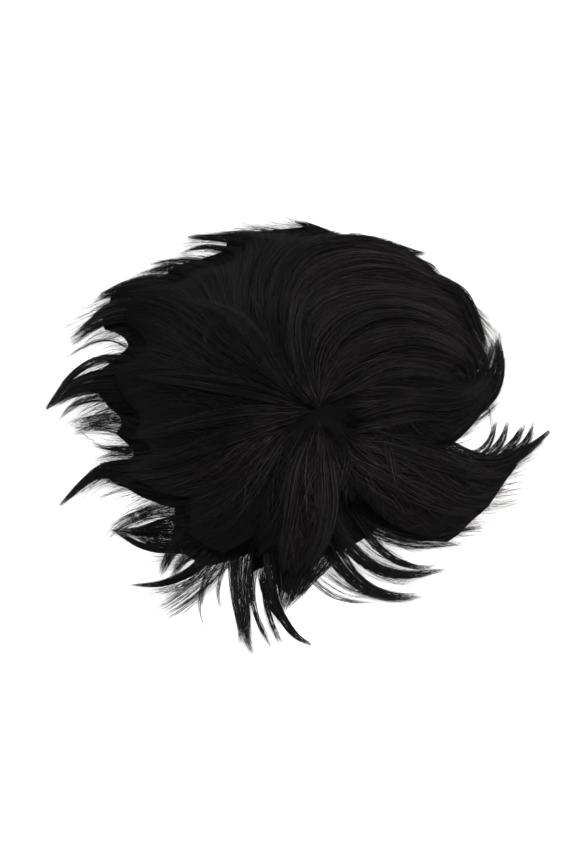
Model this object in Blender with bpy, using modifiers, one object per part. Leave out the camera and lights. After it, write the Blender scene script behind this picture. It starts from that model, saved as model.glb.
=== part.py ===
# A toupee lying on a table: a thin domed base under three layers of locks that turn about one whorl.
# Metres, +Z up, seen with the wearer's crown uppermost. The whole piece is centred over the origin
# and rests on the plane z = 0.
import math
from collections import namedtuple

import bmesh
import bpy
from mathutils import Vector

# The base, an oval net dome that the hair is tied to
BASE_WIDTH = 0.160
BASE_DEPTH = 0.176
BASE_HEIGHT = 0.036
BASE_WALL = 0.0016
BASE_STEPS = 36
BASE_ROWS = 7

# The hair
HAIR_REACH = 0.192  # from the whorl to the tip of the longest lock
CROWN_DEPTH = 0.016  # hair standing on the base at the crown
TIP_DEPTH = 0.0064  # all three layers together where the longest locks lie on the table
BACK_FULLNESS = 1.15  # how much further the hair bulges behind the whorl than in front of it
TIP_WIDTH = 0.0012  # a lock's width at its very end
CROWN_HOLE = 0.012  # radius left open at the whorl in the two lower layers

# The whorl, to the right of the base's middle, and the dark pit beside it
WHORL = Vector((0.012, -0.002))
PIT_OFFSET = Vector((0.008, -0.006))
PIT_RADIUS = 0.016
PIT_SHARE = 0.42  # of the hair's depth there

# Clearances between the pieces
RIM_CLEARANCE = 0.0012
SEAT_GAP = 0.0008
LAYER_GAP = 0.0006

# Rows of faces along a lock, inside the ring where neighbours are one and beyond it
RING_ROWS = 8
FINGER_ROWS = 5
WELD = 0.000002

# How every lock is shaped, in shares of its own length, width or depth
WINDING_POWER = 1.5  # how soon along the lock its winding is made up
SWELL = 0.12  # how far its middle has run ahead of its sides where it parts
BEND = 0.5  # where its free end turns from the way it left to the way to its tip
ROOT_VALLEY = 0.25  # how much of the valley beside it is there at the whorl
TIP_THINNING = 0.35  # how much depth it has lost at its tip

# The upper surface of each layer is a bell. depth is its share of CROWN_DEPTH at the crown, tail its
# share of TIP_DEPTH far out, and width how many base radii it takes to fall.
Bell = namedtuple("Bell", "depth tail width")
BELL_POWER = 2.6
BELLS = {
    "under": Bell(depth=0.40, tail=0.42, width=1.12),
    "middle": Bell(depth=0.70, tail=0.72, width=1.24),
    "top": Bell(depth=1.00, tail=1.00, width=1.35),
}

# A lock, by what a comb would follow. Angles are degrees about the whorl, anticlockwise from +X, and
# lengths are shares of HAIR_REACH. edge and notch are where its clockwise side parts from the lock
# before it, turn is how far the hair has wound round by there, tip and reach are its end, and full is
# how long it keeps its width: under 1 is a slim lock, 2 a blunt one.
Lock = namedtuple("Lock", "edge turn notch tip reach full")

UNDER_LOCKS = (
    Lock(edge=2, turn=10, notch=0.49, tip=18, reach=0.68, full=1.6),
    Lock(edge=12, turn=10, notch=0.59, tip=30, reach=0.75, full=1.3),
    Lock(edge=22, turn=-16, notch=0.67, tip=27, reach=0.71, full=2.2),
    Lock(edge=37, turn=-18, notch=0.73, tip=39, reach=0.77, full=2.2),
    Lock(edge=50, turn=-18, notch=0.79, tip=52, reach=0.83, full=2.2),
    Lock(edge=61, turn=-15, notch=0.82, tip=64, reach=0.87, full=2.2),
    Lock(edge=73, turn=-10, notch=0.85, tip=75, reach=0.90, full=2.2),
    Lock(edge=83, turn=5, notch=0.86, tip=95, reach=0.97, full=1.2),
    Lock(edge=93, turn=10, notch=0.86, tip=109, reach=0.92, full=2.0),
    Lock(edge=106, turn=10, notch=0.88, tip=121, reach=1.00, full=1.3),
    Lock(edge=117, turn=10, notch=0.83, tip=130, reach=0.97, full=1.2),
    Lock(edge=129, turn=10, notch=0.86, tip=144, reach=1.00, full=1.6),
    Lock(edge=141, turn=10, notch=0.83, tip=154, reach=0.98, full=1.2),
    Lock(edge=148, turn=10, notch=0.76, tip=161, reach=0.99, full=0.7),
    Lock(edge=154, turn=10, notch=0.74, tip=171, reach=0.98, full=1.8),
    Lock(edge=168, turn=10, notch=0.72, tip=176, reach=0.92, full=0.8),
    Lock(edge=175, turn=10, notch=0.66, tip=183, reach=0.85, full=0.9),
    Lock(edge=184, turn=10, notch=0.64, tip=196, reach=0.93, full=1.3),
    Lock(edge=193, turn=10, notch=0.60, tip=200, reach=0.72, full=1.2),
    Lock(edge=202, turn=8, notch=0.57, tip=206, reach=0.79, full=1.3),
    Lock(edge=211, turn=8, notch=0.63, tip=215, reach=0.75, full=1.2),
    Lock(edge=219, turn=10, notch=0.62, tip=222, reach=0.84, full=0.9),
    Lock(edge=228, turn=10, notch=0.62, tip=241, reach=0.78, full=0.8),
    Lock(edge=238, turn=10, notch=0.62, tip=253, reach=0.85, full=0.9),
    Lock(edge=247, turn=10, notch=0.62, tip=260, reach=0.83, full=0.8),
    Lock(edge=255, turn=10, notch=0.64, tip=268, reach=0.78, full=1.2),
    Lock(edge=267, turn=10, notch=0.53, tip=288, reach=0.66, full=0.7),
    Lock(edge=276, turn=10, notch=0.51, tip=299, reach=0.70, full=0.9),
    Lock(edge=289, turn=10, notch=0.45, tip=311, reach=0.67, full=0.8),
    Lock(edge=308, turn=10, notch=0.46, tip=321, reach=0.64, full=1.7),
    Lock(edge=317, turn=10, notch=0.58, tip=328, reach=0.64, full=1.6),
    Lock(edge=326, turn=10, notch=0.59, tip=337, reach=0.66, full=1.5),
    Lock(edge=335, turn=10, notch=0.60, tip=348, reach=0.71, full=1.3),
    Lock(edge=343, turn=10, notch=0.62, tip=362, reach=0.82, full=1.2),
    Lock(edge=350, turn=10, notch=0.66, tip=366, reach=0.79, full=1.2),
    Lock(edge=356, turn=10, notch=0.60, tip=368, reach=0.69, full=1.0),
)

TOP_LOCKS = (
    Lock(edge=2, turn=6, notch=0.42, tip=24, reach=0.71, full=1.6),
    Lock(edge=17, turn=-58, notch=0.50, tip=20, reach=0.60, full=2.0),
    Lock(edge=32, turn=-52, notch=0.55, tip=37, reach=0.71, full=2.0),
    Lock(edge=49, turn=-42, notch=0.58, tip=52, reach=0.75, full=2.0),
    Lock(edge=66, turn=-30, notch=0.60, tip=68, reach=0.77, full=2.0),
    Lock(edge=82, turn=-18, notch=0.62, tip=87, reach=0.82, full=1.8),
    Lock(edge=98, turn=-6, notch=0.64, tip=106, reach=0.86, full=1.6),
    Lock(edge=114, turn=2, notch=0.66, tip=123, reach=0.88, full=1.6),
    Lock(edge=130, turn=6, notch=0.68, tip=141, reach=0.90, full=1.6),
    Lock(edge=147, turn=9, notch=0.64, tip=158, reach=0.86, full=1.6),
    Lock(edge=164, turn=12, notch=0.60, tip=174, reach=0.80, full=1.4),
    Lock(edge=181, turn=14, notch=0.58, tip=190, reach=0.80, full=1.4),
    Lock(edge=199, turn=16, notch=0.50, tip=206, reach=0.70, full=1.4),
    Lock(edge=215, turn=16, notch=0.50, tip=222, reach=0.70, full=1.4),
    Lock(edge=231, turn=16, notch=0.50, tip=240, reach=0.66, full=1.2),
    Lock(edge=247, turn=16, notch=0.48, tip=258, reach=0.66, full=1.2),
    Lock(edge=264, turn=16, notch=0.42, tip=273, reach=0.52, full=1.2),
    Lock(edge=282, turn=16, notch=0.38, tip=298, reach=0.46, full=1.6),
    Lock(edge=306, turn=16, notch=0.38, tip=321, reach=0.52, full=1.6),
    Lock(edge=328, turn=14, notch=0.42, tip=341, reach=0.58, full=1.6),
    Lock(edge=346, turn=10, notch=0.42, tip=356, reach=0.58, full=1.6),
)

# The middle layer is cut evenly, and stops where the under layer's locks part
MIDDLE_COUNT = 18
MIDDLE_FIRST = 5  # degrees, the first one's clockwise side
MIDDLE_TURN = 10
MIDDLE_HOOK = 0.75  # how far across the lock's own width its tip lies
MIDDLE_NOTCH = 0.84  # share of the under layer's notch there
MIDDLE_REACH = 1.06  # likewise
MIDDLE_FULL = 1.6

# One layer of hair: its inner radius round the whorl, the surface it lies on, faces across a lock,
# and how far a lock's sides fall below its middle, as a share of its depth.
Layer = namedtuple("Layer", "node start below locks across valley")

# Finish of each material: base colour, roughness
FINISHES = {
    "base_net": ((0.020, 0.018, 0.018), 0.85),
    "under_fibre": ((0.010, 0.010, 0.011), 0.50),
    "middle_fibre": ((0.012, 0.011, 0.011), 0.45),
    "top_fibre": ((0.014, 0.012, 0.012), 0.42),
}


def mix(a, b, share):
    return a + (b - a) * share


def plan_point(angle_deg, radius):
    """A place in plan, from an angle and a distance about the whorl."""
    angle = math.radians(angle_deg)
    return WHORL + radius * Vector((math.cos(angle), math.sin(angle)))


def base_radii(grown=0.0):
    return BASE_WIDTH / 2 + grown, BASE_DEPTH / 2 + grown


def base_seat(place):
    """Height of what the hair lies on: just clear of the base, and the table outside it."""
    half_width, half_depth = base_radii(RIM_CLEARANCE)
    out = (place.x / half_width) ** 2 + (place.y / half_depth) ** 2
    return max(0.0, (BASE_HEIGHT + SEAT_GAP) * (1 - out))


def bell_height(name, place):
    """Height of a layer's upper surface over a place in plan."""
    bell = BELLS[name]
    half_width, half_depth = base_radii()
    if place.y > 0:
        half_depth *= BACK_FULLNESS
    out = math.hypot(place.x / half_width, place.y / half_depth)
    tail = bell.tail * TIP_DEPTH
    crown = BASE_HEIGHT + bell.depth * CROWN_DEPTH
    height = tail + (crown - tail) * math.exp(-((out / bell.width) ** BELL_POWER))
    seat = base_seat(place)
    from_pit = (place - WHORL - PIT_OFFSET).length
    pit = PIT_SHARE * math.exp(-((from_pit / PIT_RADIUS) ** 2))
    return seat + (height - seat) * (1 - pit)


def layer_floor(below, place):
    """Height of a layer's underside: the base and table, or the layer below it."""
    if below is None:
        return base_seat(place)
    return bell_height(below, place) + LAYER_GAP


def edge_point(layer, lock, share):
    """Where a lock's clockwise side is, at a share of the way from the whorl to its notch."""
    angle = lock.edge - lock.turn * (1 - share) ** WINDING_POWER
    radius = mix(layer.start, lock.notch * HAIR_REACH, share)
    return angle, radius


def ring_place(layer, lock, after, across, share):
    """A place in the part of a lock that is one with its neighbours."""
    angle_a, radius_a = edge_point(layer, lock, share)
    angle_b, radius_b = edge_point(layer, after, share)
    middle = 4 * across * (1 - across)
    stand = lock.reach * HAIR_REACH - max(radius_a, radius_b)
    radius = mix(radius_a, radius_b, across) + SWELL * middle * share**3 * max(0.0, stand)
    return plan_point(mix(angle_a, angle_b, across), radius)


def finger_place(layer, lock, after, across, share):
    """A place beyond the notch, where the lock is free and narrows to its tip."""
    root = ring_place(layer, lock, after, 0.5, 1.0)
    inner = ring_place(layer, lock, after, 0.5, 1 - 1 / RING_ROWS)
    tip = plan_point(lock.tip, lock.reach * HAIR_REACH)
    way = (root - inner).normalized()
    bend = root + way * (tip - root).length * BEND

    def frame(t):
        centre = (1 - t) ** 2 * root + 2 * t * (1 - t) * bend + t**2 * tip
        ahead = ((1 - t) * (bend - root) + t * (tip - bend)).normalized()
        return centre, ahead, Vector((-ahead.y, ahead.x))

    _, ahead, side = frame(0.0)
    offset = ring_place(layer, lock, after, across, 1.0) - root
    centre, ahead_now, side_now = frame(share)
    width = 1 - share**lock.full
    forward = offset.dot(ahead) * (1 - share) * width
    sideways = offset.dot(side) * width + (across - 0.5) * TIP_WIDTH * share
    return centre + ahead_now * forward + side_now * sideways


def lock_strip(mesh, layer, lock, after):
    """Lays one lock as a grid, whorl to tip, and notes its heights on its corners."""
    rows = RING_ROWS + FINGER_ROWS
    low = mesh.verts.layers.float["low"]
    high = mesh.verts.layers.float["high"]
    strip = bmesh.ops.create_grid(mesh, x_segments=layer.across, y_segments=rows, size=0.5)
    for vert in strip["verts"]:
        across = vert.co.x + 0.5
        row = round((vert.co.y + 0.5) * rows)
        if row <= RING_ROWS:
            share = row / RING_ROWS
            place = ring_place(layer, lock, after, across, share)
            parted, thinning = share, 1.0
        else:
            share = (row - RING_ROWS) / FINGER_ROWS
            place = finger_place(layer, lock, after, across, share)
            parted, thinning = 1.0, 1 - TIP_THINNING * share
        fall = layer.valley * (2 * across - 1) ** 2 * mix(ROOT_VALLEY, 1.0, parted)
        underside = layer_floor(layer.below, place)
        depth = bell_height(layer.node.split("_")[0], place) - underside
        vert.co.xy = place
        vert[low] = underside
        vert[high] = underside + depth * (1 - fall) * thinning


def hair_layer(layer):
    """Welds the locks of a layer along the sides that they share, and gives them their depth."""
    mesh = bmesh.new()
    low = mesh.verts.layers.float.new("low")
    high = mesh.verts.layers.float.new("high")
    first = layer.locks[0]
    followers = layer.locks[1:] + (first._replace(edge=first.edge + 360),)
    for lock, after in zip(layer.locks, followers):
        lock_strip(mesh, layer, lock, after)
    bmesh.ops.remove_doubles(mesh, verts=mesh.verts[:], dist=WELD)
    raised = bmesh.ops.extrude_face_region(mesh, geom=mesh.faces[:])
    upper = {item for item in raised["geom"] if isinstance(item, bmesh.types.BMVert)}
    for vert in mesh.verts:
        vert.co.z = vert[high] if vert in upper else vert[low]
    bmesh.ops.recalc_face_normals(mesh, faces=mesh.faces[:])
    return place_object(layer.node, mesh)


def base_cap():
    """The base, turned from its section and drawn out to an oval."""
    half_width, half_depth = base_radii()
    inner_height = BASE_HEIGHT - BASE_WALL
    inner_radius = half_width * math.sqrt(inner_height / BASE_HEIGHT)
    section = []
    for row in range(BASE_ROWS + 1):
        share = row / BASE_ROWS
        section.append((half_width * share, BASE_HEIGHT * (1 - share**2)))
    for row in range(BASE_ROWS + 1):
        share = 1 - row / BASE_ROWS
        section.append((inner_radius * share, inner_height * (1 - share**2)))
    mesh = bmesh.new()
    verts = [mesh.verts.new((x, 0, z)) for x, z in section]
    for a, b in zip(verts, verts[1:]):
        mesh.edges.new((a, b))
    cap = place_object("base_cap", mesh)
    turn = cap.modifiers.new("Turn", "SCREW")
    turn.steps = turn.render_steps = BASE_STEPS
    turn.use_merge_vertices = True
    turn.merge_threshold = 0.0001
    cap.scale.y = half_depth / half_width
    return cap


def place_object(name, mesh):
    """Puts a finished mesh in the toupee's collection as one named piece."""
    data = bpy.data.meshes.new(name)
    mesh.to_mesh(data)
    mesh.free()
    data.shade_smooth()
    data.set_sharp_from_angle(angle=math.radians(50))
    obj = bpy.data.objects.new(name, data)
    bpy.data.collections["toupee"].objects.link(obj)
    return obj


def give_finish(obj, name):
    colour, roughness = FINISHES[name]
    material = bpy.data.materials.new(name)
    material.use_nodes = True
    shader = material.node_tree.nodes["Principled BSDF"]
    shader.inputs["Base Color"].default_value = (*colour, 1)
    shader.inputs["Roughness"].default_value = roughness
    obj.data.materials.append(material)


def under_notch(angle):
    """How far out the under layer's locks part at an angle, read between its notches."""
    marks = [(lock.edge, lock.notch) for lock in UNDER_LOCKS]
    marks.append((marks[0][0] + 360, marks[0][1]))
    angle = (angle - marks[0][0]) % 360 + marks[0][0]
    for (from_angle, from_notch), (to_angle, to_notch) in zip(marks, marks[1:]):
        if angle <= to_angle:
            share = (angle - from_angle) / (to_angle - from_angle)
            return mix(from_notch, to_notch, share)
    return marks[-1][1]


def middle_locks():
    """Evenly cut locks, each ending a little past where the under layer's part."""
    locks = []
    pitch = 360 / MIDDLE_COUNT
    for number in range(MIDDLE_COUNT):
        edge = pitch * number + MIDDLE_FIRST
        tip = edge + pitch * MIDDLE_HOOK
        locks.append(
            Lock(
                edge=edge,
                turn=MIDDLE_TURN,
                notch=MIDDLE_NOTCH * under_notch(edge),
                tip=tip,
                reach=MIDDLE_REACH * under_notch(tip),
                full=MIDDLE_FULL,
            )
        )
    return tuple(locks)


def centre_over_origin(objects):
    """Moves the pieces together, so that their common box is centred over the origin."""
    bpy.context.view_layer.update()
    corners = [obj.matrix_world @ Vector(c) for obj in objects for c in obj.bound_box]
    for axis in (0, 1):
        values = [corner[axis] for corner in corners]
        middle = (min(values) + max(values)) / 2
        for obj in objects:
            obj.location[axis] -= middle


def main():
    for obj in list(bpy.data.objects):
        bpy.data.objects.remove(obj)
    bpy.context.scene.collection.children.link(bpy.data.collections.new("toupee"))
    layers = (
        Layer("under_layer", CROWN_HOLE, None, UNDER_LOCKS, across=2, valley=0.40),
        Layer("middle_layer", CROWN_HOLE, "under", middle_locks(), across=2, valley=0.35),
        Layer("top_layer", 0.0, "middle", TOP_LOCKS, across=3, valley=0.50),
    )
    pieces = [base_cap()] + [hair_layer(layer) for layer in layers]
    for piece, finish in zip(pieces, FINISHES):
        give_finish(piece, finish)
    centre_over_origin(pieces)


main()
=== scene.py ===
# A black toupee of loose fibre, lying on a white table. The hair is grown strand by strand over the frame.
import math

import bmesh
import bpy
import numpy as np
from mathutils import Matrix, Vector


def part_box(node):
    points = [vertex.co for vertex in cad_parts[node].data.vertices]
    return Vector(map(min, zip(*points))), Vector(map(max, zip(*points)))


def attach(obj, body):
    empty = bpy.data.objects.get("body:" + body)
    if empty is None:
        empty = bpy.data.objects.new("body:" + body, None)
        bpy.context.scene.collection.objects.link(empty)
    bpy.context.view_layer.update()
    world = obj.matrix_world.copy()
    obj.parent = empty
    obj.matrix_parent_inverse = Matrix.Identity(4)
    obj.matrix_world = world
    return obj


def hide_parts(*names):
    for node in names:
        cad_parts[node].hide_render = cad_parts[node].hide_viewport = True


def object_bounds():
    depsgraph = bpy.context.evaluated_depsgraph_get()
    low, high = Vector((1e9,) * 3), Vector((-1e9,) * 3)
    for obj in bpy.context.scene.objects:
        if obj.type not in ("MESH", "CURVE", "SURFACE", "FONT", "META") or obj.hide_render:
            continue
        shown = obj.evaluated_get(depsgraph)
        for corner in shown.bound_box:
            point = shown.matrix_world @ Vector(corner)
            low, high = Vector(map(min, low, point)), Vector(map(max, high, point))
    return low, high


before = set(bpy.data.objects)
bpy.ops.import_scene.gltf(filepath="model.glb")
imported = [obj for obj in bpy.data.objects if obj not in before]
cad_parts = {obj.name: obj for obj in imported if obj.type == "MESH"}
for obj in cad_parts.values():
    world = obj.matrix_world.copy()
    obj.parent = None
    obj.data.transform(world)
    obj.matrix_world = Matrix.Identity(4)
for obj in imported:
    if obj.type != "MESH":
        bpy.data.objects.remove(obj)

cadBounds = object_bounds()
baseLow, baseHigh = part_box("base_cap")
baseMiddle = (baseLow + baseHigh) / 2
baseSize = baseHigh - baseLow
print("toupee: frame loaded")

# The form that all the hair follows, in metres. Heights fall from the crown as bells.
form = {
    "whorlFromBase": (0.012, -0.002),
    "crownDepth": 0.016,
    "tipDepth": 0.0064,
    "backFullness": 1.15,
    "bellPower": 2.6,
    "rimClearance": 0.0012,
    "seatGap": 0.0008,
    "proudFrom": 0.011,  # how far tips may stand out from the frame before they bend back, and at most
    "proudMost": 0.0165,
    "bells": {"under": (0.40, 0.42, 1.12), "middle": (0.70, 0.72, 1.24), "top": (1.00, 1.00, 1.35)},
    # hollows beside the whorl, dark from the packing's painted shade where strands start late: offset x, y, radius,
    # share of the hair's depth
    "pits": ((0.011, -0.006, 0.014, 0.62), (-0.017, -0.009, 0.007, 0.50), (-0.016, 0.013, 0.005, 0.30)),
    # the tuft that stands up over the whorl: offset x, y, radius, height
    "crest": (-0.005, 0.014, 0.013, 0.0035),
}
whorl = np.array([baseMiddle.x + form["whorlFromBase"][0], baseMiddle.y + form["whorlFromBase"][1]])

# The camera looks down on the table from the front, 60 degrees below level
view = {
    "fromWhorl": (-0.0191, -0.6462, 1.1362),
    "belowLevel": 60,
    "lensMm": 80,
    "sensorMm": 36,
    "metresPerPixel": 0.00066,  # at the height of the hair
}
frameSize = (576, 864)  # the photo's, in pixels


def buildCamera():
    data = bpy.data.cameras.new("photoCamera")
    data.lens, data.sensor_width, data.clip_start = view["lensMm"], view["sensorMm"], 0.01
    camera = bpy.data.objects.new("photoCamera", data)
    camera.location = Vector((whorl[0], whorl[1], 0)) + Vector(view["fromWhorl"])
    camera.rotation_euler = (math.radians(90 - view["belowLevel"]), 0, 0)
    bpy.context.scene.collection.objects.link(camera)
    bpy.context.scene.camera = camera


def planOf(pixels, height):
    # where the sight line through a pixel of the photo meets the given height
    focus = view["lensMm"] / view["sensorMm"] * frameSize[1]
    tilt = math.radians(90 - view["belowLevel"])
    right = (pixels[..., 0] - frameSize[0] / 2) / focus
    up = (frameSize[1] / 2 - pixels[..., 1]) / focus
    wayY, wayZ = up * math.cos(tilt) + math.sin(tilt), up * math.sin(tilt) - math.cos(tilt)
    eye = np.array([whorl[0], whorl[1], 0]) + np.array(view["fromWhorl"])
    run = (height - eye[2]) / wayZ
    return np.stack([eye[0] + right * run, eye[1] + wayY * run], -1)


def smooth(low, high, value):
    share = np.clip((value - low) / (high - low), 0, 1)
    return share * share * (3 - 2 * share)


def seatHeight(x, y):
    # just clear of the base, and the table outside it
    outX = (x - baseMiddle.x) / (baseSize.x / 2 + form["rimClearance"])
    outY = (y - baseMiddle.y) / (baseSize.y / 2 + form["rimClearance"])
    return np.maximum(0, (baseSize.z + form["seatGap"]) * (1 - outX**2 - outY**2))


def layerTop(layer, x, y):
    if layer == "seat":
        return seatHeight(x, y)
    depth, tail, width = form["bells"][layer]
    halfDepth = baseSize.y / 2 * np.where(y > baseMiddle.y, form["backFullness"], 1)
    out = np.hypot((x - baseMiddle.x) / (baseSize.x / 2), (y - baseMiddle.y) / halfDepth)
    low = tail * form["tipDepth"]
    crown = baseSize.z + depth * form["crownDepth"]
    height = low + (crown - low) * np.exp(-((out / width) ** form["bellPower"]))
    seat = seatHeight(x, y)
    for offsetX, offsetY, radius, share in form["pits"]:
        away = np.hypot(x - whorl[0] - offsetX, y - whorl[1] - offsetY)
        height = seat + (height - seat) * (1 - share * np.exp(-((away / radius) ** 2)))
    if layer == "top":
        offsetX, offsetY, radius, rise = form["crest"]
        away = np.hypot(x - whorl[0] - offsetX, y - whorl[1] - offsetY)
        height = height + rise * np.exp(-((away / radius) ** 2))
    return height


def unit(vectors):
    return vectors / np.maximum(np.linalg.norm(vectors, axis=-1, keepdims=True), 1e-9)


def quarterTurn(vectors):
    return np.stack([-vectors[..., 1], vectors[..., 0]], -1)


def linear(code):
    # sRGB hex to the linear colour that shaders use
    parts = [int(code[i : i + 2], 16) / 255 for i in (1, 3, 5)]
    return tuple(p / 12.92 if p <= 0.04045 else ((p + 0.055) / 1.055) ** 2.4 for p in parts) + (1.0,)


def addNode(tree, kind, settings=None, links=None, **values):
    # one node, its settings as attributes, values by input name, links as input name to output socket
    node = tree.nodes.new(kind)
    for key, value in (settings or {}).items():
        setattr(node, key, value)
    for key, value in values.items():
        node.inputs[key.replace("_", " ")].default_value = value
    for key, socket in (links or {}).items():
        tree.links.new(socket, node.inputs[key])
    return node


def newMaterial(name):
    material = bpy.data.materials.new(name)
    material.use_nodes = True
    tree = material.node_tree
    tree.nodes.clear()
    shader = addNode(tree, "ShaderNodeBsdfPrincipled")
    addNode(tree, "ShaderNodeOutputMaterial", links={"Surface": shader.outputs["BSDF"]})
    return material, tree, shader


def rampBetween(tree, fac, low, high, lowAt=0.35, highAt=0.65):
    ramp = addNode(tree, "ShaderNodeValToRGB", links={"Fac": fac})
    ramp.color_ramp.elements[0].position, ramp.color_ramp.elements[1].position = lowAt, highAt
    ramp.color_ramp.elements[0].color, ramp.color_ramp.elements[1].color = low, high
    return ramp


fibre = {
    # colours between which a strand varies, roughness, shine. The coal one is the plain fibre; the brown and blue ones
    # are lighter copies that paint highlight and sheen where the guides lay them
    "coalFibre": ("#060607", "#0c0b0c", 0.44, 0.15),
    # brown-black, lighter and shinier than coal: painted brown highlight on the fan right of the whorl and along the
    # front
    "umberFibre": ("#0b0909", "#191415", 0.38, 0.25),
    # blue-black, a shade lighter than coal: painted blue sheen on the upper left slope
    "inkFibre": ("#07080a", "#0e1014", 0.44, 0.19),
    "lustreMm": 9.0,  # how far along a strand its tone holds
    "combMm": 1.2,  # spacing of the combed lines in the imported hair
}


def fibreMaterial(name):
    # dyed modacrylic fibre, drawn and cut: nearly black, with a soft satin line of light along each strand. The lighter
    # brown and blue copies carry painted highlight and painted sheen in their colour
    dark, light, rough, shine = fibre[name]
    material, tree, shader = newMaterial(name)
    place = addNode(tree, "ShaderNodeTexCoord")
    tone = addNode(
        tree, "ShaderNodeTexNoise", Scale=1000 / fibre["lustreMm"], Detail=3.0, Roughness=0.6,
        links={"Vector": place.outputs["Object"]},
    )
    colour = rampBetween(tree, tone.outputs["Fac"], linear(dark), linear(light))
    satin = addNode(
        tree, "ShaderNodeMapRange", From_Min=0.3, From_Max=0.7, To_Min=rough - 0.06, To_Max=rough + 0.08,
        links={"Value": tone.outputs["Fac"]},
    )
    tree.links.new(colour.outputs["Color"], shader.inputs["Base Color"])
    tree.links.new(satin.outputs["Result"], shader.inputs["Roughness"])
    shader.inputs["Specular IOR Level"].default_value = shine
    return material


def packedShadeMaterial():
    # the same fibre pressed close below the surface: matt, and coloured darker than the strands as painted shade, with
    # fine combed lines in its bump
    material, tree, shader = newMaterial("packedFibrePaintedShade")
    place = addNode(tree, "ShaderNodeTexCoord")
    lines = addNode(
        tree, "ShaderNodeTexNoise", Scale=1000 / fibre["combMm"], Detail=2.0, links={"Vector": place.outputs["Object"]}
    )
    # darker than any strand: painted shade where the packing shows
    colour = rampBetween(tree, lines.outputs["Fac"], linear("#040304"), linear("#0a0909"))
    bump = addNode(
        tree, "ShaderNodeBump", Strength=0.4, Distance=0.0004, links={"Height": lines.outputs["Fac"]}
    )
    tree.links.new(colour.outputs["Color"], shader.inputs["Base Color"])
    tree.links.new(bump.outputs["Normal"], shader.inputs["Normal"])
    shader.inputs["Roughness"].default_value = 0.8
    shader.inputs["Specular IOR Level"].default_value = 0.1
    return material


def netMaterial():
    # knotted monofilament net, heat set over a mould: a dull black weave of about 1 mm holes
    material, tree, shader = newMaterial("monofilamentNet")
    place = addNode(tree, "ShaderNodeTexCoord")
    holes = addNode(
        tree, "ShaderNodeTexVoronoi", {"feature": "DISTANCE_TO_EDGE"}, Scale=1000 / 1.6, Randomness=0.25,
        links={"Vector": place.outputs["Object"]},
    )
    colour = rampBetween(tree, holes.outputs["Distance"], linear("#1d1b1b"), linear("#060606"), 0.05, 0.22)
    bump = addNode(
        tree, "ShaderNodeBump", Strength=0.8, Distance=0.0005, links={"Height": holes.outputs["Distance"]}
    )
    bump.invert = True
    tree.links.new(colour.outputs["Color"], shader.inputs["Base Color"])
    tree.links.new(bump.outputs["Normal"], shader.inputs["Normal"])
    shader.inputs["Roughness"].default_value = 0.75
    shader.inputs["Specular IOR Level"].default_value = 0.25
    return material


fibreNames = ["coalFibre", "umberFibre", "inkFibre"]
fibres = [fibreMaterial(name) for name in fibreNames]
packed = packedShadeMaterial()
print("toupee: materials made")


# What all strands share. A share is of the strand's own length unless the note says otherwise.
strand = {
    "leastHeight": 0.0004,  # metres above the table, for a strand's line and for its edges
    "leastEdgeHeight": 0.0002,
    "rollMost": 1.2,  # radians
    "widthSpread": (0.7, 1.3),
    "rootWidth": 0.55,
    "tipTaper": 0.85,
    "liftPower": 5,  # few strands lift far, most hardly
    "pastTip": 1.2,  # how far past its tip a guide may be followed
}

# How the combed hair varies
combed = {
    "narrowGap": 0.15,  # share of the mean area that even a narrow gap between guides counts as
    "wispOffset": 0.2,  # in wisps
    "bareSpread": (0.8, 1.4),
    "endPower": 1.2,
    "shortRun": (0.18, 0.45),
    "leastRun": 0.16,
    "fillRun": (0.2, 0.4),  # the length that a strand gets in place of one below leastRun
    "fillRoot": 0.01,
    "frayMost": 4,
    "crossTurn": 0.3,  # where along a strand it crosses the comb's way
    "topLevel": 1.03,  # levels are shares of the layer's depth
    "levelSpread": 0.8,
    "levelPower": 1.3,
    "rootLevel": 0.45,
    "tipDrop": 0.6,
}

# How the laid locks vary
laidLock = {
    "rootSpread": 0.22,
    "pixelsPerWisp": 5,
    "wispReach": 0.9,
    "wispOffset": 0.12,
    "endMost": 1.06,
    "endPower": 2.2,
    "wispEnds": 0.07,
    "edgeShorter": 0.06,
    "leastRun": 0.3,
    "gather": 0.5,
    "looseStray": 4.0,  # how many times further a loose strand strays
    "strayPower": 2.5,
    "flatness": 0.9,
    "archSpread": 0.25,
}

# How the closely packed hair is shaped. Levels are shares of the layer's depth.
packing = {
    "edgeFrom": 0.75,
    "edgeDrop": 0.7,
    "rootLevel": 0.1,
    "rootRun": 0.18,
    "floorLevel": 0.04,
    "joinWithin": 0.000002,
    "whorlRing": 0.03,
}


def addPiece(name, verts, faces, materials, tints=None):
    mesh = bpy.data.meshes.new(name)
    mesh.from_pydata(verts, [], faces)
    for material in materials:
        mesh.materials.append(material)
    if tints is not None:
        mesh.polygons.foreach_set("material_index", tints.astype(np.int32))
    mesh.shade_smooth()
    mesh.update()
    obj = bpy.data.objects.new(name, mesh)
    bpy.context.scene.collection.objects.link(obj)
    return obj


def ribbons(name, paths, widths, rolls, tints):
    # each strand is a flat ribbon, rolled about its own line by its own angle
    count, points, _ = paths.shape
    ahead = unit(np.gradient(paths, axis=1))
    side = unit(np.cross(ahead, np.array([0.0, 0.0, 1.0])))
    lift = np.cross(side, ahead)
    roll = rolls[:, None, None]
    across = (side * np.cos(roll) + lift * np.sin(roll)) * widths[..., None] / 2
    verts = np.stack([paths - across, paths + across], 2).reshape(-1, 3)
    verts[:, 2] = np.maximum(verts[:, 2], strand["leastEdgeHeight"])
    step = (np.arange(count)[:, None] * points + np.arange(points - 1)).reshape(-1) * 2
    faces = np.stack([step, step + 1, step + 3, step + 2], -1)
    return addPiece(name, verts, faces, fibres, np.repeat(tints, points - 1))
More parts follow.
